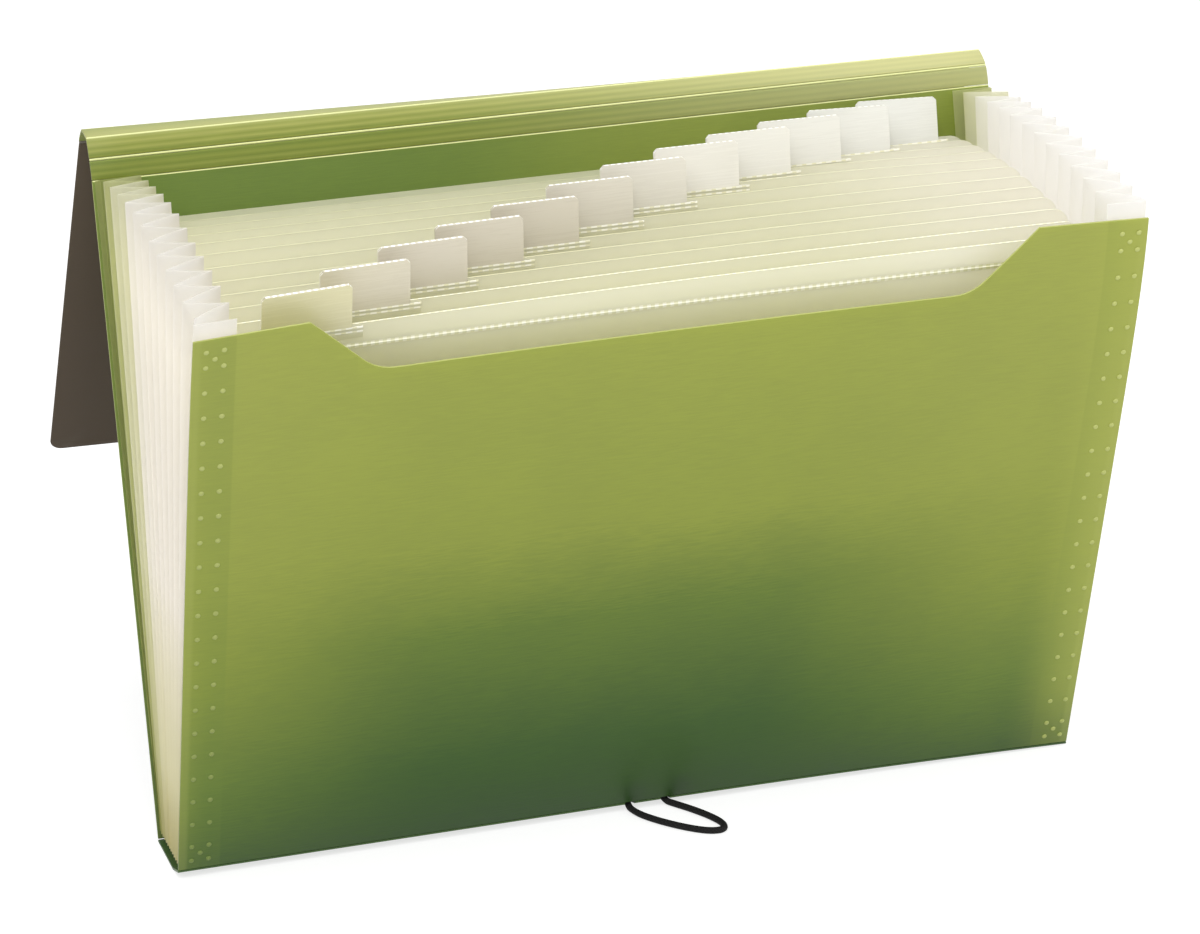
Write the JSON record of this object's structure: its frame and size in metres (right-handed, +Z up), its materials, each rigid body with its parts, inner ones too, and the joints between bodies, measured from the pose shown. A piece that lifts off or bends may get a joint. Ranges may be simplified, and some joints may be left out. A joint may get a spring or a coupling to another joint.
{
  "type": "accordion file folder",
  "caption": "Expanding poly file that stands fanned open: tabbed dividers between cover panels, pleated sides, scored flap and elastic loop closure.",
  "frame": {"origin": "on the underside of the bottom panel, in the middle of its length and midway between the two bottom folds", "axes": "+X along the folder's width, +Y to its back, +Z up"},
  "size_m": [0.33, 0.2484, 0.2363],
  "materials": {
    "cover_green": "translucent sheet with a fine brushed grain",
    "flap_brown": "matte sheet",
    "divider_clear": "translucent satin sheet",
    "gusset_frost": "frosted translucent sheet",
    "tab_clear": "clear folded sheet",
    "label_paper": "uncoated paper",
    "elastic_black": "braided elastic",
    "stop_black": "moulded",
    "button_dark": "moulded"
  },
  "bodies": {
    "base": {"bottom_panel": "cover_green", "gusset_left": "gusset_frost", "gusset_right": "gusset_frost", "elastic_loop": "elastic_black", "cord_stops": "stop_black"},
    "front_cover": {"front_panel": "cover_green"},
    "back_cover": {"back_panel": "cover_green", "hinge_strip_1": "cover_green", "hinge_strip_2": "cover_green"},
    "leaf_01": {"divider_01": "divider_clear", "tab_holder_01": "tab_clear", "tab_label_01": "label_paper"},
    "leaf_02": {"divider_02": "divider_clear", "tab_holder_02": "tab_clear", "tab_label_02": "label_paper"},
    "leaf_03": {"divider_03": "divider_clear", "tab_holder_03": "tab_clear", "tab_label_03": "label_paper"},
    "leaf_04": {"divider_04": "divider_clear", "tab_holder_04": "tab_clear", "tab_label_04": "label_paper"},
    "leaf_05": {"divider_05": "divider_clear", "tab_holder_05": "tab_clear", "tab_label_05": "label_paper"},
    "leaf_06": {"divider_06": "divider_clear", "tab_holder_06": "tab_clear", "tab_label_06": "label_paper"},
    "leaf_07": {"divider_07": "divider_clear", "tab_holder_07": "tab_clear", "tab_label_07": "label_paper"},
    "leaf_08": {"divider_08": "divider_clear", "tab_holder_08": "tab_clear", "tab_label_08": "label_paper"},
    "leaf_09": {"divider_09": "divider_clear", "tab_holder_09": "tab_clear", "tab_label_09": "label_paper"},
    "leaf_10": {"divider_10": "divider_clear", "tab_holder_10": "tab_clear", "tab_label_10": "label_paper"},
    "leaf_11": {"divider_11": "divider_clear", "tab_holder_11": "tab_clear", "tab_label_11": "label_paper"},
    "leaf_12": {"divider_12": "divider_clear", "tab_holder_12": "tab_clear", "tab_label_12": "label_paper"},
    "flap": {"hinge_strip_3": "cover_green", "hinge_strip_4": "cover_green", "flap_panel": "flap_brown", "closure_button": "button_dark", "button_washer": "button_dark"}
  },
  "joints": [
    {"name": "front_fold", "type": "hinge", "parent": "base", "child": "front_cover", "pos_m": [0, -0.015, 0.0031], "axis": [-1, 0, 0], "range_deg": [0, 14.3], "deforming": ["gusset_left", "gusset_right"]},
    {"name": "back_fold", "type": "hinge", "parent": "base", "child": "back_cover", "pos_m": [0, 0.015, 0.0004], "axis": [1, 0, 0], "range_deg": [0, 14.71]},
    {"name": "leaf_01_fold", "type": "hinge", "parent": "base", "child": "leaf_01", "pos_m": [0, -0.01269, 0.0046], "axis": [-1, 0, 0], "range_deg": [0, 12.08]},
    {"name": "leaf_02_fold", "type": "hinge", "parent": "base", "child": "leaf_02", "pos_m": [0, -0.01039, 0.0046], "axis": [-1, 0, 0], "range_deg": [0, 9.85]},
    {"name": "leaf_03_fold", "type": "hinge", "parent": "base", "child": "leaf_03", "pos_m": [0, -0.00808, 0.0046], "axis": [-1, 0, 0], "range_deg": [0, 7.62]},
    {"name": "leaf_04_fold", "type": "hinge", "parent": "base", "child": "leaf_04", "pos_m": [0, -0.00577, 0.0046], "axis": [-1, 0, 0], "range_deg": [0, 5.39]},
    {"name": "leaf_05_fold", "type": "hinge", "parent": "base", "child": "leaf_05", "pos_m": [0, -0.00346, 0.0046], "axis": [-1, 0, 0], "range_deg": [0, 3.16]},
    {"name": "leaf_06_fold", "type": "hinge", "parent": "base", "child": "leaf_06", "pos_m": [0, -0.00115, 0.0046], "axis": [-1, 0, 0], "range_deg": [0, 0.9254]},
    {"name": "leaf_07_fold", "type": "hinge", "parent": "base", "child": "leaf_07", "pos_m": [0, 0.00115, 0.0046], "axis": [1, 0, 0], "range_deg": [0, 1.33]},
    {"name": "leaf_08_fold", "type": "hinge", "parent": "base", "child": "leaf_08", "pos_m": [0, 0.00346, 0.0046], "axis": [1, 0, 0], "range_deg": [0, 3.56]},
    {"name": "leaf_09_fold", "type": "hinge", "parent": "base", "child": "leaf_09", "pos_m": [0, 0.00577, 0.0046], "axis": [1, 0, 0], "range_deg": [0, 5.79]},
    {"name": "leaf_10_fold", "type": "hinge", "parent": "base", "child": "leaf_10", "pos_m": [0, 0.00808, 0.0046], "axis": [1, 0, 0], "range_deg": [0, 8.02]},
    {"name": "leaf_11_fold", "type": "hinge", "parent": "base", "child": "leaf_11", "pos_m": [0, 0.01039, 0.0046], "axis": [1, 0, 0], "range_deg": [0, 10.25]},
    {"name": "leaf_12_fold", "type": "hinge", "parent": "base", "child": "leaf_12", "pos_m": [0, 0.01269, 0.0046], "axis": [1, 0, 0], "range_deg": [0, 12.48]},
    {"name": "flap_fold", "type": "hinge", "parent": "back_cover", "child": "flap", "pos_m": [0, 0.08144, 0.2359], "axis": [1, 0, 0], "range_deg": [0, 225]}
  ],
  "couplings": [
    {"joint": "back_fold", "follows": "front_fold", "ratio": 1.028},
    {"joint": "leaf_01_fold", "follows": "front_fold", "ratio": 0.844},
    {"joint": "leaf_02_fold", "follows": "front_fold", "ratio": 0.688},
    {"joint": "leaf_03_fold", "follows": "front_fold", "ratio": 0.53201},
    {"joint": "leaf_04_fold", "follows": "front_fold", "ratio": 0.37601},
    {"joint": "leaf_05_fold", "follows": "front_fold", "ratio": 0.22001},
    {"joint": "leaf_06_fold", "follows": "front_fold", "ratio": 0.064013},
    {"joint": "leaf_07_fold", "follows": "front_fold", "ratio": 0.091985},
    {"joint": "leaf_08_fold", "follows": "front_fold", "ratio": 0.24798},
    {"joint": "leaf_09_fold", "follows": "front_fold", "ratio": 0.40398},
    {"joint": "leaf_10_fold", "follows": "front_fold", "ratio": 0.55998},
    {"joint": "leaf_11_fold", "follows": "front_fold", "ratio": 0.71598},
    {"joint": "leaf_12_fold", "follows": "front_fold", "ratio": 0.87197}
  ]
}
